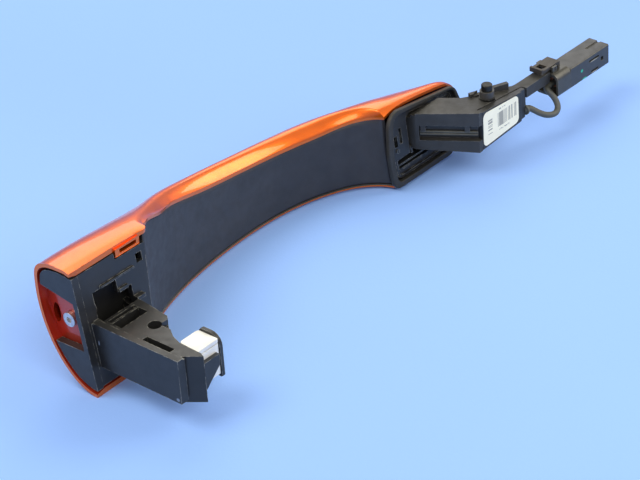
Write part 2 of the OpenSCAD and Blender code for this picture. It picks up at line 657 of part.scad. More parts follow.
// The free upper end is a little thicker than the shank, so it also holds the upper bush
module hinge_pin() {
    color([0.62, 0.60, 0.58]) placed() translate([pin_x, pin_y, 0]) rotate_extrude($fn = fine)
        polygon([[0, pin_z[0]], [pin_r - chamfer, pin_z[0]], [pin_r, pin_z[0] + chamfer],
                 [pin_r, stub_z - stub_tall / 2], [stub_r, stub_z - stub_tall / 2],
                 [stub_r, stub_z + stub_tall / 2], [stub_r - chamfer, pin_z[1]], [0, pin_z[1]]]);
}

module bush(z, tall) {
    translate([pin_x, pin_y, z]) difference() {
        cylinder(h = tall, r = bush_r, $fn = fine);
        translate([0, 0, -1]) cylinder(h = tall + 2, r = pin_r + bush_gap, $fn = fine);
    }
}
module upper_bush() {
    color([0.28, 0.26, 0.24]) placed() bush(boss_z[1] + 0.1, upper_tall);
}
module lower_bush() {
    color([0.28, 0.26, 0.24]) placed() bush(boss_z[0] - 0.1 - lower_tall, lower_tall);
}

// ---------- electronics module ----------

board_y = [-16.2, -15.4];

module module_side(d) {
    polygon([[module_x[0] + d, 8.9 + d], [module_x[1] - d, 10.6 + d], [module_x[1] - d, 23.9 - d],
             [module_x[0] + d, 26.4 - d]]);
}

module module_housing() {
    color([0.10, 0.10, 0.11]) placed() difference() {
        along_y(module_y, pocket_y - 0.1 - module_y) module_side(0);
        along_y(module_y + 1.2, 5) module_side(1.6);
        // the end beyond the label stands back
        box([232.2, 240], [module_y - 1, module_y + 0.8], [0, 30]);
    }
}

module module_board() {
    color([0.10, 0.35, 0.18]) placed() along_y(board_y[0], board_y[1] - board_y[0]) module_side(1.8);
}

chips = [[211, 14, 6, 6], [219, 13.5, 4, 3], [219, 18, 5, 3.5], [227, 14.5, 3, 5]];
module chip_outlines() {
    for (c = chips)
        translate([c[0], c[1]]) square([c[2], c[3]]);
}

module module_chips() {
    color([0.06, 0.06, 0.06]) placed() along_y(board_y[1], 0.5) chip_outlines();
}

module module_potting() {
    color([0.20, 0.19, 0.17]) placed() along_y(board_y[1], pocket_y - 0.1 - board_y[1]) difference() {
        module_side(1.8);
        chip_outlines();
    }
}

module module_label() {
    color([0.96, 0.96, 0.93]) placed() along_y(module_y - 0.12, 0.12)
        polygon(rounded([[206.6, 9.9, 2.3], [230, 11.5, 2.3], [229.8, 23.8, 2.3], [206.6, 25.4, 2.3]]));
}

// ---------- leads and connector ----------

module arm_leads() {
    color([0.10, 0.10, 0.11]) placed() on_strut()
        for (z = [16, 17.1])
            rod_x([4.5, 28], 2, z, 0.5);
}

lead_y = -16;
lead_z = 13.4;
entry_y = -15.6;
entry_z = 16.9;

module lead_grommet() {
    color([0.13, 0.13, 0.13]) placed() difference() {
        union() {
            rod_x([module_x[1] + 0.3, module_x[1] + 1.2], lead_y, lead_z, 2.2);
            rod_x([module_x[1] + 1.1, module_x[1] + 1.8], lead_y, lead_z, 1.8);
        }
        rod_x([module_x[1] - 1, module_x[1] + 4], lead_y, lead_z, lead_d / 2);
    }
}

// Middle line of the lead, from the module to the connector
lead_route = [[235.8, -16, 13.4], [237.6, -16, 13.4], [238.9, -16.6, 13.1], [240, -18, 12.1],
              [241.3, -19.9, 10.8], [243.2, -21.5, 9.6], [246, -22.6, 8.8], [248.6, -22.8, 8.8],
              [250.4, -22.3, 10.1], [251.1, -21.1, 12.1], [251, -19.4, 14.3], [250.4, -17.7, 16.1],
              [250.9, -16.3, 16.9], [252.6, -15.7, 17], [257, -15.6, 16.9], [261.2, -15.6, 16.9]];

function unit(v) = v / norm(v);
function route_way(r, i) = unit(r[min(i + 1, len(r) - 1)] - r[max(i - 1, 0)]);
// Side direction carried along the route without twisting
function route_side(r, i) =
    i == 0 ? [0, 1, 0]
           : let (s = route_side(r, i - 1), w = route_way(r, i)) unit(s - (s * w) * w);

module short_lead() {
    color([0.20, 0.20, 0.19]) placed() {
        n = 8;
        points = [for (i = [0:len(lead_route) - 1])
                  let (w = route_way(lead_route, i), s = route_side(lead_route, i), u = cross(w, s))
                  each [for (k = [0:n - 1]) lead_route[i]
                        + lead_d / 2 * (s * cos(360 * k / n) + u * sin(360 * k / n))]];
        last = (len(lead_route) - 1) * n;
        sides = [for (i = [0:len(lead_route) - 2], k = [0:n - 1])
                 let (a = i * n + k, b = i * n + (k + 1) % n)
                 each [[a, b + n, b], [a, a + n, b + n]]];
        start = [[for (k = [0:n - 1]) k]];
        end = [[for (k = [n - 1:-1:0]) last + k]];
        polyhedron(points = points, faces = concat(sides, start, end), convexity = 6);
    }
}

collar_x = [252.6, 261.8];
plug_x = 262;
plug_y = -20.7;
plug_z = 13.2;
latch_x = [247.2, 259.6];
latch_y = [-16.8, -10.4];
latch_pivot = [254.8, 24.9];
latch_rod_r = 0.7;

module plug_seal() {
    color([0.75, 0.35, 0.20]) placed() difference() {
        rod_x([258, collar_x[1] - 0.1], entry_y, entry_z, 2.7);
        rod_x([257, collar_x[1] + 1], entry_y, entry_z, lead_d / 2);
    }
}

module plug_collar() {
    color([0.16, 0.16, 0.16]) placed() difference() {
        union() {
            along_x(collar_x[0], collar_x[1] - collar_x[0])
                polygon(rounded([[-21, 12.7, 2], [-9.3, 12.7, 2], [-9.3, 23.3, 0.8], [-21, 23.3, 3]]));
            for (y = [latch_y[0] - 1.1, latch_y[1] + 0.15])
                box([latch_pivot[0] - 1.4, latch_pivot[0] + 1.4], [y, y + 0.95], [22, 25.9]);
        }
        // wide mouth around the lead
        along_x(collar_x[0] - 1, 5)
            polygon(rounded([[-20, 13.7, 1.2], [-10.6, 13.7, 1.2], [-10.6, 22, 0.8], [-20, 22, 2.2]]));
        rod_x([collar_x[0], 258], entry_y, entry_z, 3.1);
        rod_x([257, collar_x[1] + 1], entry_y, entry_z, 2.7);
        rod_y(latch_pivot[0], [-20, -8], latch_pivot[1], latch_rod_r + 0.05);
    }
}

socket_y = [-18.6, -13.9];
socket_z = [14.4, 18.4];
socket_w = [3.2, 2.9];
function sockets() = [for (y = socket_y, z = socket_z) [y, z]];

module plug_housing() {
    color([0.10, 0.10, 0.12]) placed() difference() {
        along_x(plug_x, plug_length) polygon(rounded([[plug_y, plug_z, 0.6],
                [plug_y + plug_width, plug_z, 0.6], [plug_y + plug_width, plug_z + plug_height, 0.6],
                [plug_y, plug_z + plug_height, 0.6]], 3));
        for (s = sockets())
            translate([plug_x + 4, s[0] - 0.2, s[1]]) cube([plug_length, socket_w[0], socket_w[1]]);
        // witness windows on the side
        box([275, 282], [plug_y - 1, plug_y + 1], [19.6, 20.4]);
        box([276.5, 281.5], [plug_y - 1, plug_y + 1], [14.3, 15.1]);
        box([283.4, 285.2], [plug_y - 1, plug_y + 1.4], [16.8, 18.6]);
        // key groove on top
        box([280, plug_x + plug_length + 1], [-16.4, -14.8], [plug_z + plug_height - 0.6, 30]);
    }
}

module plug_terminals() {
    color([0.80, 0.68, 0.35]) placed() for (s = sockets())
        box([plug_x + 4, plug_x + plug_length - 4], [s[0] + 0.9, s[0] + 1.9], [s[1] + 1.1, s[1] + 1.8]);
}

module plug_latch() {
    color([0.14, 0.14, 0.14]) placed() difference() {
        union() {
            box(latch_x, latch_y, [24.9, 26.3]);
            box([latch_x[0], latch_x[0] + 1.2], latch_y, [24.9, 27]);
            box([latch_x[1] - 1.4, latch_x[1]], latch_y, [23.5, 26]);
            rod_y(latch_pivot[0], [latch_y[0] - 1, latch_y[1] + 1], latch_pivot[1], latch_rod_r);
        }
        box([249.4, 252.4], [latch_y[0] + 1.4, latch_y[1] - 1.4], [24, 28]);
    }
}

outer_shell();
grip_cover();
bar_core();
rear_bracket();
shell_screw();
core_screws();
hook_pad();
front_surround();
front_bracket();
hinge_arm();
arm_screws();
hinge_pin();
upper_bush();
lower_bush();
module_housing();
module_board();
module_chips();
module_potting();
module_label();
arm_leads();
lead_grommet();
short_lead();
plug_seal();
plug_collar();
plug_housing();
plug_terminals();
plug_latch();
antenna_core();
antenna_winding();
lock_sensor();
unlock_sensor();
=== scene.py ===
"""Looks of a pull-type car door handle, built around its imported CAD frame.

Lengths in the shape functions are millimetres from the rear end's lower inner corner,
as in the CAD source; to_row() turns them into the frame's metres.
"""
import math

import bpy
from mathutils import Matrix, Vector
from mathutils.geometry import tessellate_polygon


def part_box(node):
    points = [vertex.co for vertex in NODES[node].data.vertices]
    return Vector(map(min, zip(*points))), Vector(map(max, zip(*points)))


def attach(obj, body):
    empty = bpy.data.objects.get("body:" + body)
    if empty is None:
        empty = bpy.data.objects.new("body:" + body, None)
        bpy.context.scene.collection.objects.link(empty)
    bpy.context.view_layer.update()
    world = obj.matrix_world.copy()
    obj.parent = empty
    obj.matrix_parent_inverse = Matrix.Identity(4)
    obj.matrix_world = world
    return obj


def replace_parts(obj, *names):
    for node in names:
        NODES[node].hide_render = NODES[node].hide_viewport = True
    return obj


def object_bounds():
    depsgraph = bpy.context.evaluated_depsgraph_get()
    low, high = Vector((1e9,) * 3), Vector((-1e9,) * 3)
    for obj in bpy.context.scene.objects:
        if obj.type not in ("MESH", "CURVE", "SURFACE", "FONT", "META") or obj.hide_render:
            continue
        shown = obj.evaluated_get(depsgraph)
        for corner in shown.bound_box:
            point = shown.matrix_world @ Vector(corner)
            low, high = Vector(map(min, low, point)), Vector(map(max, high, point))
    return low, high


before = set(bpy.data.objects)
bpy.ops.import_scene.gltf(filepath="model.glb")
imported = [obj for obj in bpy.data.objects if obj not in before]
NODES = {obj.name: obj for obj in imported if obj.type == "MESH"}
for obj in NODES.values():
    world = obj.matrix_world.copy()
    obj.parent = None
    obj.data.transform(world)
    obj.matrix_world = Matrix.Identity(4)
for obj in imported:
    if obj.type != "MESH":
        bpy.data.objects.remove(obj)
CAD_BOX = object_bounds()
PIN_END = (217.5, -11.2, 31.0)     # the frame's origin, the middle of the hinge pin's free end


def to_row(p):
    """Millimetres from the rear end's lower corner to metres in the row frame."""
    return Vector([(a - b) / 1000 for a, b in zip(p, PIN_END)])


# ---------- camera, light and floor ----------

FORWARD = Vector((0.6236, 0.5774, -0.5270))
RIGHT = Vector((0.6505, -0.7571, -0.0597))
AIM = Vector((-0.1037, 0.0017, -0.0206))     # in the row frame, metres
DISTANCE = 1.0
SENSOR_WIDTH = 36
FOCAL_LENGTH = 146.25


def add_camera():
    """A long lens from above and the hook's side, at the angle the photograph was taken from."""
    forward = FORWARD.normalized()
    right = (RIGHT - RIGHT.dot(forward) * forward).normalized()
    up = right.cross(forward)
    cam = bpy.data.objects.new("camera", bpy.data.cameras.new("camera"))
    cam.matrix_world = Matrix((
        (right.x, up.x, -forward.x, 0), (right.y, up.y, -forward.y, 0),
        (right.z, up.z, -forward.z, 0), (0, 0, 0, 1)))
    cam.location = AIM - forward * DISTANCE
    cam.data.sensor_width = SENSOR_WIDTH
    cam.data.lens = FOCAL_LENGTH
    cam.data.clip_start = 0.01
    bpy.context.collection.objects.link(cam)
    bpy.context.scene.camera = cam


def add_area(name, direction, distance, size, power, colour):
    """A soft square light that looks at the object's middle."""
    low, high = CAD_BOX
    middle = (low + high) / 2
    data = bpy.data.lights.new(name, "AREA")
    data.size = size
    data.energy = power
    data.color = colour
    lamp = bpy.data.objects.new(name, data)
    lamp.location = middle + Vector(direction).normalized() * distance
    lamp.rotation_euler = (middle - lamp.location).to_track_quat("-Z", "Y").to_euler()
    bpy.context.collection.objects.link(lamp)


def add_lamps():
    """Four soft squares: above, in front, beyond the hinge end and behind."""
    add_area("key", (-0.75, 0.55, 1.3), 1.2, 0.7, 7, (1.0, 0.97, 0.90))
    add_area("front", (-0.45, -1.0, 0.95), 1.5, 0.9, 8, (1.0, 0.95, 0.84))
    add_area("side", (0.80, -0.45, 0.48), 1.5, 0.9, 11, (1.0, 0.93, 0.76))
    add_area("back", (0.62, 0.58, 0.70), 1.4, 0.9, 5, (1.0, 0.98, 0.90))


def add_world():
    """Surroundings that turn from blue at the horizon to warm white overhead."""
    world = bpy.data.worlds.new("studio")
    world.use_nodes = True
    nodes, links = world.node_tree.nodes, world.node_tree.links
    where = nodes.new("ShaderNodeTexCoord").outputs["Generated"]
    split = nodes.new("ShaderNodeSeparateXYZ")
    ramp = nodes.new("ShaderNodeValToRGB")
    links.new(where, split.inputs[0])
    links.new(split.outputs["Z"], ramp.inputs[0])
    ramp.color_ramp.elements[0].position = 0.0
    ramp.color_ramp.elements[0].color = (0.20, 0.33, 1.0, 1)
    ramp.color_ramp.elements[1].position = 0.8
    ramp.color_ramp.elements[1].color = (1.0, 0.96, 0.78, 1)
    middle = ramp.color_ramp.elements.new(0.3)
    middle.color = (0.68, 0.72, 1.0, 1)
    links.new(ramp.outputs[0], nodes["Background"].inputs["Color"])
    nodes["Background"].inputs["Strength"].default_value = 0.65
    bpy.context.scene.world = world
    bpy.context.scene.view_settings.view_transform = "Standard"


FLOOR_REACH = 6.0


def add_floor():
    """A plain pale blue floor, level with the object's lowest point."""
    level = CAD_BOX[0].z
    r = FLOOR_REACH
    mesh = bpy.data.meshes.new("floor")
    mesh.from_pydata([(-r, -r, level), (r, -r, level), (r, r, level), (-r, r, level)], [], [(0, 1, 2, 3)])
    floor = bpy.data.objects.new("floor", mesh)
    bpy.context.collection.objects.link(floor)
    t = Tree("floor_paper", (0.265, 0.455, 0.92), 0.85)
    t.vary_colour(t.noise(3, 2), 0.04)
    t.bump(t.noise(900, 3), 0.00005)
    mesh.materials.append(t.material)


# ---------- materials ----------

class Tree:
    """A material's node tree: a Principled shader fed by procedural textures in object space."""

    def __init__(self, name, colour, roughness):
        self.material = bpy.data.materials.new(name)
        self.material.use_nodes = True
        self.nodes = self.material.node_tree.nodes
        self.links = self.material.node_tree.links
        self.shader = self.nodes["Principled BSDF"]
        self.colour = colour
        self.base_output = colour      # what feeds the base colour: a colour or a socket
        self.coords = self.nodes.new("ShaderNodeTexCoord").outputs["Object"]
        self.shader.inputs["Base Color"].default_value = (*colour, 1)
        self.shader.inputs["Roughness"].default_value = roughness
        self.material.diffuse_color = (*colour, 1)

    def feed(self, socket, value):
        """Sets an input to a value, or links it to another node's output."""
        if isinstance(value, bpy.types.NodeSocket):
            self.links.new(value, socket)
        else:
            socket.default_value = value

    def add(self, kind, settings=None, **inputs):
        """Adds a node; its inputs are given by socket name, or as i0, i1 and so on by number."""
        node = self.nodes.new(kind)
        for key, value in (settings or {}).items():
            setattr(node, key, value)
        for key, value in inputs.items():
            numbered = key[0] == "i" and key[1:].isdigit()
            self.feed(node.inputs[int(key[1:]) if numbered else key], value)
        return node

    def noise(self, scale, detail=2.0, coords=None):
        """Cloudy noise in object space; a larger scale is finer."""
        return self.add("ShaderNodeTexNoise", Vector=coords or self.coords, Scale=scale,
                        Detail=detail).outputs["Fac"]

    def stretch(self, x, y, z):
        """Object coordinates scaled by axis, for brushed or streaky textures."""
        return self.add("ShaderNodeMapping", Vector=self.coords, Scale=(x, y, z)).outputs["Vector"]

    def remap(self, value, low, high, to_low=0.0, to_high=1.0):
        """Stretches a range of values onto another, held at its ends."""
        return self.add("ShaderNodeMapRange", i0=value, i1=low, i2=high, i3=to_low, i4=to_high).outputs[0]

    def math(self, operation, a, b=0.0):
        return self.add("ShaderNodeMath", {"operation": operation}, i0=a, i1=b).outputs[0]

    def mix(self, factor, a, b):
        """Blends two colours, each a plain colour or another node's output."""
        node = self.add("ShaderNodeMix", {"data_type": "RGBA"}, i0=factor)
        for socket, value in ((node.inputs[6], a), (node.inputs[7], b)):
            self.feed(socket, (*value, 1) if isinstance(value, tuple) else value)
        return node.outputs[2]

    def base(self, output):
        """Feeds the base colour from a node's output."""
        self.links.new(output, self.shader.inputs["Base Color"])
        self.base_output = output

    def vary_colour(self, pattern, amount):
        """Lets a pattern darken and lighten the base colour by a share."""
        dark = tuple(c * (1 - amount) for c in self.colour)
        light = tuple(min(1, c * (1 + amount)) for c in self.colour)
        self.base(self.mix(self.remap(pattern, 0.3, 0.7), dark, light))

    def vary_roughness(self, pattern, low, high):
        """Lets a pattern carry the roughness between two values."""
        self.links.new(self.remap(pattern, 0.3, 0.7, low, high), self.shader.inputs["Roughness"])

    def bump(self, height, distance, strength=1.0):
        """Lets a pattern tilt the surface; the distance is its depth in metres."""
        node = self.add("ShaderNodeBump", Height=height, Distance=distance, Strength=strength)
        self.links.new(node.outputs[0], self.shader.inputs["Normal"])

    def edge_mask(self, radius):
        """Near 1 on sharp edges, from how far a rounded normal leaves the true one."""
        rounded = self.add("ShaderNodeBevel", {"samples": 4}, Radius=radius).outputs[0]
        true = self.add("ShaderNodeNewGeometry").outputs["Normal"]
        dot = self.add("ShaderNodeVectorMath", {"operation": "DOT_PRODUCT"}, i0=rounded, i1=true)
        return self.remap(dot.outputs["Value"], 0.985, 0.85)

    def spot(self, centre, radius, soft=0.35):
        """Near 1 inside an ellipsoid: centre in metres, radius per axis in metres."""
        moved = self.add("ShaderNodeVectorMath", {"operation": "SUBTRACT"}, i0=self.coords, i1=centre)
        scaled = self.add("ShaderNodeVectorMath", {"operation": "DIVIDE"}, i0=moved.outputs[0], i1=radius)
        length = self.add("ShaderNodeVectorMath", {"operation": "LENGTH"}, i0=scaled.outputs[0])
        return self.remap(length.outputs["Value"], 1.0, 1.0 - soft)


def marked(tree, colour, marks):
    """Small marks on a moulding: each is a centre in part millimetres and a radius per axis."""
    for centre, radius in marks:
        spot = tree.spot(tuple(to_row(centre)), tuple(r / 1000 for r in radius))
        tree.base(tree.mix(spot, tree.base_output, colour))
    return tree


def moulded(name, colour, roughness, grain=0.00025, height=0.00002, wear_and_highlight=0.0, wear_and_highlight_colour=(0.30, 0.29, 0.26)):
    """Moulded plastic: cloudy tone, fine grain, uneven gloss and, if asked, patchy edges mixed towards
    another colour: rubbed wear, and where that colour is lighter, also a painted highlight.
    """
    t = Tree(name, colour, roughness)
    t.vary_colour(t.noise(140, 4), 0.16)
    t.vary_roughness(t.noise(320, 3), roughness - 0.07, roughness + 0.09)
    t.bump(t.noise(1 / grain, 2), height)
    if wear_and_highlight:
        # patchy sharp edges take the edge colour: rubbed wear, and on the dark plastics also a painted
        # highlight
        wear_and_highlight_edges = t.math("MULTIPLY", t.edge_mask(0.00035), t.remap(t.noise(500, 3), 0.42, 0.62))
        t.base(t.mix(t.math("MULTIPLY", wear_and_highlight_edges, wear_and_highlight), t.base_output, wear_and_highlight_colour))
    return t


def paint(name, deep, flake, metallic):
    """Orange metallic car paint under a clear coat, with flakes and light dust."""
    t = Tree(name, deep, 0.34)
    flakes = t.add("ShaderNodeTexVoronoi", Vector=t.coords, Scale=6500)
    glint = t.remap(flakes.outputs["Distance"], 0.55, 0.1)
    t.base(t.mix(t.math("MULTIPLY", glint, 0.30), deep, flake))
    t.vary_roughness(t.noise(260, 3), 0.28, 0.36)
    tilt = t.add("ShaderNodeBump", Height=t.noise(5200, 1), Distance=0.000012, Strength=0.5)
    t.links.new(tilt.outputs[0], t.shader.inputs["Normal"])
    coat = t.add("ShaderNodeBump", Height=t.noise(420, 2), Distance=0.000006, Strength=0.6)
    t.links.new(coat.outputs[0], t.shader.inputs["Coat Normal"])
    t.shader.inputs["Metallic"].default_value = metallic
    t.shader.inputs["Coat Weight"].default_value = 0.8
    t.shader.inputs["Coat Roughness"].default_value = 0.06
    return t


def metal(name, colour, roughness):
    """Plated or dull steel with fine turning marks and slight tarnish."""
    t = Tree(name, colour, roughness)
    t.vary_colour(t.noise(700, 4), 0.18)
    t.vary_roughness(t.noise(900, 2, t.stretch(1, 1, 9)), roughness - 0.08, roughness + 0.12)
    t.bump(t.noise(2500, 2), 0.00001)
    t.shader.inputs["Metallic"].default_value = 0.9
    return t


def rubber(name, colour, roughness):
    """Matt rubber with a fine even grain."""
    t = Tree(name, colour, roughness)
    t.vary_colour(t.noise(260, 4), 0.2)
    t.vary_roughness(t.noise(600, 3), roughness - 0.06, roughness + 0.08)
    t.bump(t.noise(5200, 3), 0.000015)
    return t


# centre, then radius per axis: pale scuffs on the rear bracket, and on the plug's housing
# plain green dabs and light streaks
SCUFFS = [((5, 1.2, 18.5), (0.5, 0.35, 1.1)), ((5, -36.9, 9.3), (0.6, 0.9, 0.8)),
          ((5, 4.3, 21.6), (0.5, 0.6, 0.3))]
DABS = [((269.8, -20.7, 18), (0.9, 0.6, 0.8)), ((271.6, -20.7, 13.7), (1.9, 0.6, 0.6)),
        ((268.4, -20.7, 13.3), (3.2, 0.6, 0.4))]
STREAKS = [((278.4, -20.7, 19.4), (3.2, 0.5, 0.22)), ((278.8, -20.7, 14), (2.4, 0.5, 0.22))]


def label_print(low, high):
    """White film with generic bars and specks, placed by the label's own box."""
    t = Tree("label_print", (0.95, 0.90, 0.68), 0.42)
    split = t.add("ShaderNodeSeparateXYZ", Vector=t.coords)
    u = t.remap(split.outputs["X"], low.x, high.x)
    v = t.remap(split.outputs["Z"], low.z, high.z)

    def window(value, a, b):
        return t.math("MULTIPLY", t.math("GREATER_THAN", value, a), t.math("LESS_THAN", value, b))

    def area(u0, u1, v0, v1):
        return t.math("MULTIPLY", window(u, u0, u1), window(v, v0, v1))

    def speckle(columns, rows, threshold):
        """Random dark cells of a grid over the whole label."""
        cell = t.add("ShaderNodeCombineXYZ", X=t.math("FLOOR", t.math("MULTIPLY", u, columns)),
                     Y=t.math("FLOOR", t.math("MULTIPLY", v, rows)))
        noise = t.add("ShaderNodeTexWhiteNoise", {"noise_dimensions": "2D"}, Vector=cell.outputs[0])
        return t.math("GREATER_THAN", noise.outputs["Value"], threshold)

    # a block of upright bars, a block of level bars and two short rows of specks
    ink = t.math("MULTIPLY", speckle(62.0, 1.0, 0.52), area(0.37, 0.93, 0.34, 0.76))
    ink = t.math("MAXIMUM", ink, t.math("MULTIPLY", speckle(1.0, 46.0, 0.45), area(0.13, 0.25, 0.24, 0.72)))
    small = t.math("MAXIMUM", area(0.44, 0.62, 0.84, 0.88), area(0.44, 0.74, 0.22, 0.26))
    ink = t.math("MAXIMUM", ink, t.math("MULTIPLY", speckle(80.0, 24.0, 0.45), small))
    t.vary_colour(t.noise(300, 3), 0.03)
    t.base(t.mix(t.math("MULTIPLY", ink, 0.66), t.base_output, (0.06, 0.06, 0.07)))
    t.bump(t.noise(1800, 2), 0.000006)
    return t


# ---------- the bar's surfaces, as in the CAD source ----------

ARCH_START, ARCH_MID, ARCH_END, ARCH_DEPTH = 34, 120, 176, 28.5
SHELL_WALL, GRIP_WALL = 2.2, 2.0
REAR_TILT, MID_TILT, FRONT_TILT, FRONT_PLANE, RIM = 0.15, 0.03, 0.12, 2.35, 2.0
BAR_END, NOSE_START, NOSE_LEVEL = 222.5, 206, 12.5
LOW_Z, LOW_POWER, SWEEP = -1.3, 1.9, 0.13
LOW_LINE = [[0, -2.4], [34, -1.9], [63, LOW_Z], [222.5, LOW_Z]]
TOP_LINE = [[0, 48.8], [36, 48.4], [63, 44.3], [90, 38.3], [115, 34], [137, 31.3], [155, 31],
            [170, 32.2], [184, 32.8], [207, 30.4], [222.5, 28.2]]
OUTER_LINE = [[0, 26], [33, 29.6], [63, 37.4], [90, 42.2], [120, 44.5], [140, 43], [157, 38.2],
              [170, 32.6], [187, 25.2], [207, 17], [219, 12.4], [222.5, 10]]
WIDEST_LINE = [[0, 36], [33, 32], [63, 20], [90, 17.5], [120, 16], [155, 15], [187, 14], [222.5, 13]]
TOP_POWER = [[0, 4], [12, 3.6], [40, 2.3], [63, 2], [115, 2], [140, 2.3], [155, 2.8], [187, 3],
             [222.5, 3.4]]
ROOT_LINE = [[0, 0], [33, 3], [63, 20], [90, 26.8], [120, 28.5], [140, 27.6], [157, 22], [170, 13],
             [187, 5], [222.5, 3]]
DROP_LINE = [[0, 0.7], [30, 0.7], [44, 0.8], [63, 4.4], [90, 6], [115, 5.6], [137, 4.5], [155, 3.8],
             [170, 3.2], [184, 1.2], [222.5, 1]]


def curve(k, x):
    """Smooth curve through the pairs of k."""
    i = max(j for j in range(len(k) - 1) if j == 0 or x >= k[j][0])

    def slope(j):
        a, b = max(j - 1, 0), min(j + 1, len(k) - 1)
        return (k[b][1] - k[a][1]) / (k[b][0] - k[a][0])

    w = k[i + 1][0] - k[i][0]
    t = (x - k[i][0]) / w
    u, v = t * t, t * t * t
    return ((2 * v - 3 * u + 1) * k[i][1] + (v - 2 * u + t) * w * slope(i)
            + (3 * u - 2 * v) * k[i + 1][1] + (v - u) * w * slope(i + 1))


def sine(a):
    """Sine of an angle in degrees, never below zero."""
    return max(0.0, math.sin(math.radians(a)))


def cosine(a):
    return math.cos(math.radians(a))


def arch_power(a):
    """The arch is a quarter superellipse on each side of its deepest point."""
    return 1.93 if a < 90 else 2.1


def arch_reach(a):
    """Length of the arch on the side of the angle a."""
    return ARCH_MID - ARCH_START if a < 90 else ARCH_END - ARCH_MID


def arch_offset(a, d):
    """Point at a distance d outside the finger arch, at its angle a."""
    p, q, c = 2 / arch_power(a), 2 - 2 / arch_power(a), cosine(a)
    point = Vector((ARCH_MID - math.copysign(1, c) * arch_reach(a) * abs(c) ** p, ARCH_DEPTH * sine(a) ** p))
    normal = Vector((-math.copysign(1, c) * abs(c) ** q / arch_reach(a), sine(a) ** q / ARCH_DEPTH))
    return point + d * normal.normalized()


def arch_y(x):
    """Height of the arch at x, and zero outside it."""
    a = 0 if x < ARCH_MID else 180
    u, n = abs(x - ARCH_MID) / arch_reach(a), arch_power(a)
    return 0.0 if u >= 1 else ARCH_DEPTH * (1 - u ** n) ** (1 / n)


def blend(x, a, b):
    """Smooth step from 0 at a to 1 at b."""
    t = min(max((x - a) / (b - a), 0), 1)
    return t * t * (3 - 2 * t)


def tilt(x):
    """How far the bar leans outwards for each millimetre of height."""
    return (REAR_TILT * (1 - blend(x, 34, 60)) + MID_TILT * blend(x, 34, 60)
            + (FRONT_TILT - MID_TILT) * blend(x, 150, 176))


def sweep_at(x, z):
    """How far the arch's rear end leans forward along the bar at the height z."""
    return SWEEP * z * (1 - blend(x, 36, 84))


def swept(x, z):
    """The station x after that sweep."""
    return x + sweep_at(x + sweep_at(x, z), z)


def low_edge(x, z=0.0):
    """Where the skin's inner edge stands: on the arch, and beyond the rim of the front foot."""
    return max(arch_y(x - sweep_at(x, z)), (FRONT_PLANE + RIM + 0.1) * blend(x, 150, 174))


CORNER_X, CORNER_R = 40.6, 3.6


def cut_back(x):
    """How far the upper lip's edge rounds back into the arch."""
    u = min(max(x - CORNER_X + CORNER_R, 0), CORNER_R)
    return 0.0 if x > 50 else CORNER_R - math.sqrt(CORNER_R ** 2 - u ** 2)


def lip_over(x):
    """How far the upper lip stands over the grip's face beyond that corner."""
    return 1.9 * blend(x, 40.5, 44) * (1 - blend(x, 50, 70))


def rolled(x, d):
    """How far the upper lip rolls down at a distance d from its inner edge."""
    width = 3.5 + 3.5 * blend(x, 36, 64) - 2.5 * blend(x, 150, 180)
    return curve(DROP_LINE, x) * (1 - min(max(d, 0) / width, 1)) ** 2


def nosed(x, z):
    """Draws a height towards the nose's middle near the hinge end."""
    if x <= NOSE_START:
        return z
    return NOSE_LEVEL + (z - NOSE_LEVEL) * math.sqrt(
        max(1 - ((x - NOSE_START) / (BAR_END - NOSE_START)) ** 4.5, 0.03))


def skin(x, a, depth):
    """Point of the bar's skin at angle a of its section, moved inwards by depth."""
    low = a <= 90
    thin = 1 - (0.72 if low else 0.45) * blend(x, 28, 44)
    w = depth * (0.65 + 0.35 * blend(x, 0, 4)) * (thin + (1 - thin) * sine(a) ** 0.5)
    widest, top = curve(WIDEST_LINE, x), curve(TOP_LINE, x)
    n = LOW_POWER if low else curve(TOP_POWER, x)
    lean = 0 if low else tilt(x) * top
    root = curve(ROOT_LINE, x) + lean
    edge = low_edge(x, 0 if low else top) + lean
    outer = curve(OUTER_LINE, x) - w
    tall = (widest - curve(LOW_LINE, x) if low else top - widest) - w
    rim = edge if low else max(edge - lip_over(x), cut_back(x) + lean)
    y = rim + (outer - rim) * sine(a) ** (2 / n)
    t = max(0, (y - root) / (outer - root))
    z = widest - math.copysign(1, cosine(a)) * tall * max(0, 1 - t ** n) ** (1 / n)
    z -= 0 if low else rolled(x, y - edge)
    return Vector((x, y, nosed(x, z)))


# ---------- mesh building ----------

def new_piece(name, points, faces, material):
    """A smooth-shaded piece, from points in part millimetres, that rides on the handle."""
    mesh = bpy.data.meshes.new(name)
    mesh.from_pydata([to_row(p) for p in points], [], faces)
    mesh.validate()
    mesh.polygons.foreach_set("use_smooth", [True] * len(mesh.polygons))
    mesh.materials.append(material)
    piece = bpy.data.objects.new(name, mesh)
    bpy.context.collection.objects.link(piece)
    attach(piece, "handle")
    return piece


def round_edges(piece, width, angle=35, segments=2):
    """Small fillets on every edge sharper than the angle, then even shading."""
    bevel = piece.modifiers.new("round", "BEVEL")
    bevel.limit_method = "ANGLE"
    bevel.angle_limit = math.radians(angle)
    bevel.width = width / 1000
    bevel.segments = segments
    bevel.harden_normals = False
    normals = piece.modifiers.new("shade", "WEIGHTED_NORMAL")
    normals.keep_sharp = False


def loft(rings):
    """Points, and the faces between closed rings of equal length."""
    n = len(rings[0])
    points = [p for ring in rings for p in ring]
    faces = []
    for s in range(len(rings) - 1):
        for i in range(n):
            a, b = s * n + i, s * n + (i + 1) % n
            faces.append((a, b, b + n, a + n))
    return points, faces


def wall_caps(count, first):
    """Quads that close a ring whose second half runs back over its first half."""
    half = count // 2
    return [(first + i, first + count - 1 - i, first + count - 2 - i, first + i + 1) for i in range(half - 1)]


# the inner side up to this station takes the darker copy of the paint, which is painted shade
PAINTED_TO = 22     # the shell's inner side is painted as far as this station


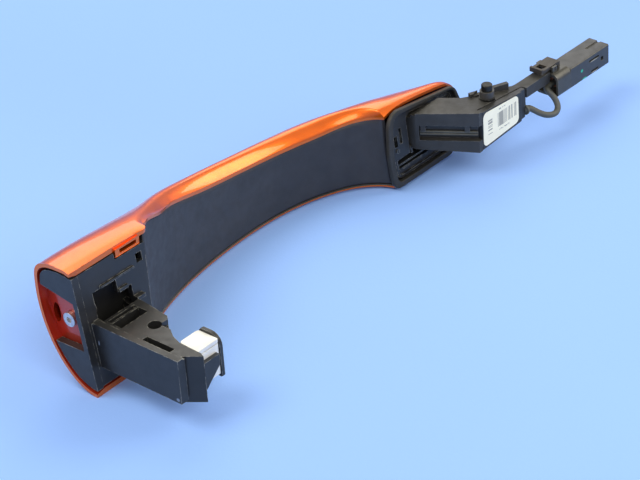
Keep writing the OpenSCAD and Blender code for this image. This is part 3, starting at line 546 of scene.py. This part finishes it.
def build_shell(paint_material, shaded_inner_material, bare_material):
    """The painted shell; its inner side takes a darker copy of the paint at the rear end, a painted shade,
    then bare plastic.
    """
    angles = [a * 2.5 for a in range(71)] + [176.5, 178, 179, 180]
    top = curve(TOP_LINE, ARCH_START + 5)
    stations = {round(x * 0.5, 2) for x in range(int(BAR_END * 2) + 1)}
    for a in range(0, 60):
        stations.add(round(arch_offset(a, 0)[0], 2))
        stations.add(round(swept(arch_offset(a, 0)[0], top), 2))
    stations = sorted(stations)
    stations = [x for i, x in enumerate(stations) if i == 0 or x - stations[i - 1] > 0.02]
    rings = [[skin(x, a, 0) for a in angles] + [skin(x, a, SHELL_WALL) for a in reversed(angles)]
             for x in stations]
    points, faces = loft(rings)
    count = len(rings[0])
    faces += [tuple(reversed(f)) for f in wall_caps(count, 0)]
    faces += wall_caps(count, (len(rings) - 1) * count)
    shell = new_piece("painted_shell", points, faces, paint_material)
    shell.data.materials.append(shaded_inner_material)
    shell.data.materials.append(bare_material)
    inner = len(angles)
    # inner faces at the rear end take the darker paint copy as painted shade; further on, bare plastic
    for face in shell.data.polygons:
        if all(v % count >= inner for v in face.vertices):
            face.material_index = 2 if stations[min(face.vertices) // count] > PAINTED_TO else 1
    round_edges(shell, 0.35, 50, 3)
    return shell


WEB_X, WEB_THICK, WEB_BACK = 3.8, 1.8, 2.6
SCREW_Y, SCREW_Z, SCREW_HOLE = 12.6, 25.6, 1.95
SLOT_Y, SLOT_Z, SLOT_RADIUS, SLOT_STRETCH = 20.3, 25.2, 1.8, 2.3
PLATE_LEAN = 0.15
FLANGE = [(22.6, 43.7), (35, 43.7), (35, 46.9), (22.6, 46.9)]
FLANGE_SLOT = [(25, 44.4), (33.5, 44.4), (33.5, 45.9), (25, 45.9)]
FLANGE_FRONT, FLANGE_BACK = 6.7, 8.7


def circle(cx, cy, r, count=32):
    """Points round a circle."""
    return [(cx + r * math.cos(2 * math.pi * i / count), cy + r * math.sin(2 * math.pi * i / count))
            for i in range(count)]


def slab(outline, holes, low, high, place):
    """Points and faces of a flat slab with holes; place(u, v, w) gives the 3-D point."""
    loops = [outline] + holes
    flat = [p for loop in loops for p in loop]
    n = len(flat)
    caps = tessellate_polygon([[Vector((u, v, 0)) for u, v in loop] for loop in loops])
    points = [place(u, v, low) for u, v in flat] + [place(u, v, high) for u, v in flat]
    faces = [tuple(t) for t in caps] + [tuple(i + n for i in reversed(t)) for t in caps]
    start = 0
    for loop in loops:
        m = len(loop)
        faces += [(start + i, start + (i + 1) % m, start + (i + 1) % m + n, start + i + n) for i in range(m)]
        start += m
    return points, faces


def build_web(material):
    """Painted end web that stands back from the end face, with its screw hole and a slot."""
    ring = [skin(WEB_X + 0.9, a * 3, SHELL_WALL - 0.9) for a in range(61)]
    outline = []
    for p in ring:
        z = min(max(p[2], 14), 40)
        y = max(p[1], WEB_BACK + PLATE_LEAN * z)
        outline.append((y, z))
    clean = [q for i, q in enumerate(outline) if i == 0 or math.dist(q, outline[i - 1]) > 0.05]
    slot = [(SLOT_Y + y, SLOT_Z + SLOT_STRETCH * z) for y, z in circle(0, 0, SLOT_RADIUS)]
    points, faces = slab(clean, [circle(SCREW_Y, SCREW_Z, SCREW_HOLE), slot], WEB_X, WEB_X + WEB_THICK,
                         lambda y, z, x: (x, y, z))
    # the web takes the darker copy of the paint as well: painted shade for the recess it stands in
    web = new_piece("shell_web", points, faces, material)
    round_edges(web, 0.25)
    return web


def build_flange(material):
    """Painted flange along the top of the rear foot, with its slot."""
    points, faces = slab(FLANGE, [FLANGE_SLOT], FLANGE_FRONT, FLANGE_BACK, lambda x, z, y: (x, y, z))
    flange = new_piece("shell_flange", points, faces, material)
    round_edges(flange, 0.3)
    return flange


GRIP_LOW, GRIP_HIGH = 3, 170      # the arch's angles at the cover's two ends


def wall_angle(x, d, n, edge):
    """Angle of the section at which the wall's inner face stands d beyond its edge."""
    share = min(1, max(d, 0) / (curve(OUTER_LINE, x) - SHELL_WALL - edge))
    return math.degrees(math.asin(share ** (n / 2)))


def shell_low(x, d):
    """Height of the shell's lower wall, on its inner face."""
    return skin(x, wall_angle(x, d, LOW_POWER, low_edge(x)), SHELL_WALL)[2]


def shell_high(x, d):
    """Height of the shell's upper wall, on its inner face."""
    edge = low_edge(x, curve(TOP_LINE, x)) - lip_over(x)
    return skin(x, 180 - wall_angle(x, d + lip_over(x), curve(TOP_POWER, x), edge), SHELL_WALL)[2]


def grip_point(a, s, share, add):
    """Point of the grip cover: offset s into the bar, share of its height, and what is added."""
    p = arch_offset(a, s)
    d = p[1] - low_edge(p[0])
    low = shell_low(p[0], d)
    high = shell_high(swept(p[0], curve(TOP_LINE, p[0])), d)
    z = low + share * (high - low) + add
    x = swept(p[0], z)
    return Vector((x, p[1] + tilt(x) * z, z))


def grip_profile(inset):
    """Section of the cover from its lower back edge over its face to its upper back edge."""
    fillet = 1.3
    quarter = [math.pi / 2 * i / 5 for i in range(6)]
    low = [(max(inset, fillet * (1 - math.sin(t))), 0.0, 0.15 + fillet * (1 - math.cos(t))) for t in quarter]
    face = [(inset, 0.08 + 0.84 * i / 14, 0.0) for i in range(15)]
    high = [(max(inset, fillet * (1 - math.cos(t))), 1.0, -0.25 - fillet * (1 - math.sin(t)))
            for t in quarter]
    back = [(GRIP_WALL, share, add) for share, add in ((1, -0.3), (0.65, 0), (0.35, 0), (0, 0.3))]
    return low + face + high + back


def build_grip(material):
    """The black cover of the finger arch, its ends curling into the bar."""
    curl = 2.0
    rings = []
    steps = 160
    length = [0.0]
    angles = [GRIP_LOW + (GRIP_HIGH - GRIP_LOW) * i / steps for i in range(steps + 1)]
    for a, b in zip(angles, angles[1:]):
        length.append(length[-1] + (arch_offset(b, 0) - arch_offset(a, 0)).length)
    extra = [0.0, 0.15, 0.4, 0.75, 1.15, 1.6]

    def angle_at(distance):
        i = max(j for j in range(len(length)) if length[j] <= distance)
        i = min(i, steps - 1)
        return angles[i] + (angles[i + 1] - angles[i]) * (distance - length[i]) / (length[i + 1] - length[i])

    stops = extra + [curl + (length[-1] - 2 * curl) * i / 150 for i in range(151)]
    stops += [length[-1] - e for e in reversed(extra)]
    for s in stops:
        from_end = min(s, length[-1] - s)
        inset = 0.0 if from_end >= curl else curl - math.sqrt(curl ** 2 - (curl - from_end) ** 2)
        rings.append([grip_point(angle_at(s), *p) for p in grip_profile(inset)])
    points, faces = loft(rings)
    count = len(rings[0])
    faces.append(tuple(reversed(range(count))))
    faces.append(tuple((len(rings) - 1) * count + i for i in range(count)))
    return new_piece("grip_skin", points, faces, material)


# ---------- cable ----------

LEAD_ROUTE = [(235.8, -16, 13.4), (237.6, -16, 13.4), (238.9, -16.6, 13.1), (240, -18, 12.1),
              (241.3, -19.9, 10.8), (243.2, -21.5, 9.6), (246, -22.6, 8.8), (248.6, -22.8, 8.8),
              (250.4, -22.3, 10.1), (251.1, -21.1, 12.1), (251, -19.4, 14.3), (250.4, -17.7, 16.1),
              (250.9, -16.3, 16.9), (252.6, -15.7, 17), (257, -15.6, 16.9), (261.2, -15.6, 16.9)]
LEAD_RADIUS = 1.3


def smooth_route(points, steps):
    """Catmull-Rom curve through the points."""
    p = [Vector(q) for q in points]
    p = [2 * p[0] - p[1]] + p + [2 * p[-1] - p[-2]]
    out = []
    for i in range(1, len(p) - 2):
        for k in range(steps):
            t = k / steps
            out.append(0.5 * (2 * p[i] + (p[i + 1] - p[i - 1]) * t
                              + (2 * p[i - 1] - 5 * p[i] + 4 * p[i + 1] - p[i + 2]) * t ** 2
                              + (3 * p[i] - p[i - 1] - 3 * p[i + 1] + p[i + 2]) * t ** 3))
    return out + [p[-2]]


def tube(route, radius, sides):
    """Rings round a route, carried along it without twisting."""
    rings, side = [], Vector((0, 1, 0))
    for i, p in enumerate(route):
        way = (route[min(i + 1, len(route) - 1)] - route[max(i - 1, 0)]).normalized()
        side = (side - side.dot(way) * way).normalized()
        up = way.cross(side)
        rings.append([p + radius * (side * math.cos(2 * math.pi * k / sides)
                                    + up * math.sin(2 * math.pi * k / sides)) for k in range(sides)])
    points, faces = loft(rings)
    last = (len(rings) - 1) * sides
    return points, faces + [tuple(reversed(range(sides))), tuple(last + k for k in range(sides))]


def build_lead(material):
    """The round cable from the module to the plug."""
    points, faces = tube(smooth_route(LEAD_ROUTE, 6), LEAD_RADIUS - 0.02, 16)
    return new_piece("lead_jacket", points, faces, material)


# ---------- CAD nodes that stay ----------

def finish_node(name, material, fillet=0.2):
    """Gives a carried-over CAD node its material and small moulding radii."""
    node = NODES[name]
    node.data.materials.clear()
    node.data.materials.append(material)
    if fillet:
        weld = node.modifiers.new("weld", "WELD")
        weld.merge_threshold = 0.000004      # metres
        flat = node.modifiers.new("planar", "DECIMATE")
        flat.decimate_type = "DISSOLVE"
        flat.angle_limit = math.radians(1)
        round_edges(node, fillet, 35, 2)


def main():
    """Sets the stage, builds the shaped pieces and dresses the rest."""
    add_camera()
    add_lamps()
    add_world()
    add_floor()

    painted = paint("orange_paint", (0.88, 0.135, 0.004), (1.0, 0.40, 0.04), 0.85).material
    # a darker, redder copy of the orange paint: painted shade for the shell's inner side and end web
    shaded_paint = paint("shaded_paint", (0.52, 0.030, 0.006), (0.8, 0.10, 0.02), 0.6).material
    grip = moulded("grip_plastic", (0.030, 0.028, 0.029), 0.44, 0.00030, 0.00004).material
    # on these dark plastics the lighter edge colour is part wear, part painted highlight
    bracket = marked(moulded("bracket_plastic", (0.018, 0.018, 0.018), 0.36, 0.0003, 0.00002, 0.9,
                             (0.40, 0.39, 0.33)), (0.20, 0.24, 0.30), SCUFFS).material
    arm = moulded("arm_plastic", (0.032, 0.031, 0.028), 0.52, 0.0003, 0.00002, wear_and_highlight=0.5).material
    module = moulded("module_plastic", (0.019, 0.0185, 0.017), 0.38, 0.0003, 0.000015, wear_and_highlight=0.3).material
    plug = moulded("plug_plastic", (0.045, 0.043, 0.034), 0.36, 0.0003, 0.00002, wear_and_highlight=0.5).material
    housing = moulded("housing_plastic", (0.034, 0.034, 0.032), 0.36, 0.0003, 0.00002, wear_and_highlight=0.5)
    housing = marked(marked(housing, (0.02, 0.42, 0.24), DABS), (0.30, 0.30, 0.26), STREAKS).material
    latch = moulded("latch_plastic", (0.034, 0.027, 0.018), 0.45, 0.0003, 0.00002, wear_and_highlight=0.4).material
    bare = moulded("bare_plastic", (0.030, 0.029, 0.028), 0.5).material
    core = moulded("core_plastic", (0.05, 0.05, 0.05), 0.5).material
    surround = rubber("surround_rubber", (0.022, 0.021, 0.018), 0.55).material
    jacket = rubber("lead_rubber", (0.085, 0.086, 0.070), 0.55).material
    seal = rubber("seal_rubber", (0.50, 0.20, 0.10), 0.5).material
    acetal = moulded("white_acetal", (0.78, 0.78, 0.74), 0.38, 0.0005, 0.00001, wear_and_highlight=0.3,
                     wear_and_highlight_colour=(0.55, 0.54, 0.5)).material
    zinc = metal("screw_steel", (0.60, 0.59, 0.58), 0.32).material
    steel = metal("pin_steel", (0.045, 0.043, 0.040), 0.42).material
    bush = moulded("bush_plastic", (0.05, 0.047, 0.042), 0.4).material
    board = moulded("board", (0.03, 0.14, 0.06), 0.3).material
    chip = moulded("chip", (0.02, 0.02, 0.02), 0.35).material
    potting = moulded("potting", (0.07, 0.06, 0.05), 0.2).material
    brass = metal("terminal_brass", (0.75, 0.62, 0.32), 0.3).material
    ferrite = moulded("ferrite", (0.08, 0.08, 0.085), 0.5).material
    copper = metal("copper", (0.62, 0.30, 0.14), 0.3).material
    label = label_print(*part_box("module_label")).material

    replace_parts(build_shell(painted, shaded_paint, bare), "outer_shell")
    build_web(shaded_paint)
    build_flange(painted)
    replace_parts(build_grip(grip), "grip_cover")
    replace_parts(build_lead(jacket), "short_lead")

    for names, material, fillet in (
            (("rear_bracket",), bracket, 0.25), (("front_bracket",), bracket, 0.2),
            (("bar_core",), core, 0.3), (("hinge_arm",), arm, 0.3),
            (("hook_pad",), acetal, 0.3), (("front_surround",), surround, 0.45),
            (("module_housing",), module, 0.25), (("module_label",), label, 0),
            (("module_board",), board, 0.1), (("module_chips",), chip, 0.1),
            (("module_potting",), potting, 0.05), (("arm_leads", "lead_grommet"), jacket, 0.1),
            (("plug_seal",), seal, 0.1), (("plug_collar",), plug, 0.2), (("plug_housing",), housing, 0.15),
            (("plug_latch",), latch, 0.12), (("plug_terminals",), brass, 0.05),
            (("shell_screw", "core_screws", "arm_screws"), zinc, 0.1), (("hinge_pin",), steel, 0.08),
            (("upper_bush", "lower_bush"), bush, 0.12), (("antenna_core",), ferrite, 0.1),
            (("antenna_winding", "lock_sensor", "unlock_sensor"), copper, 0.05)):
        for name in names:
            finish_node(name, material, fillet)


main()
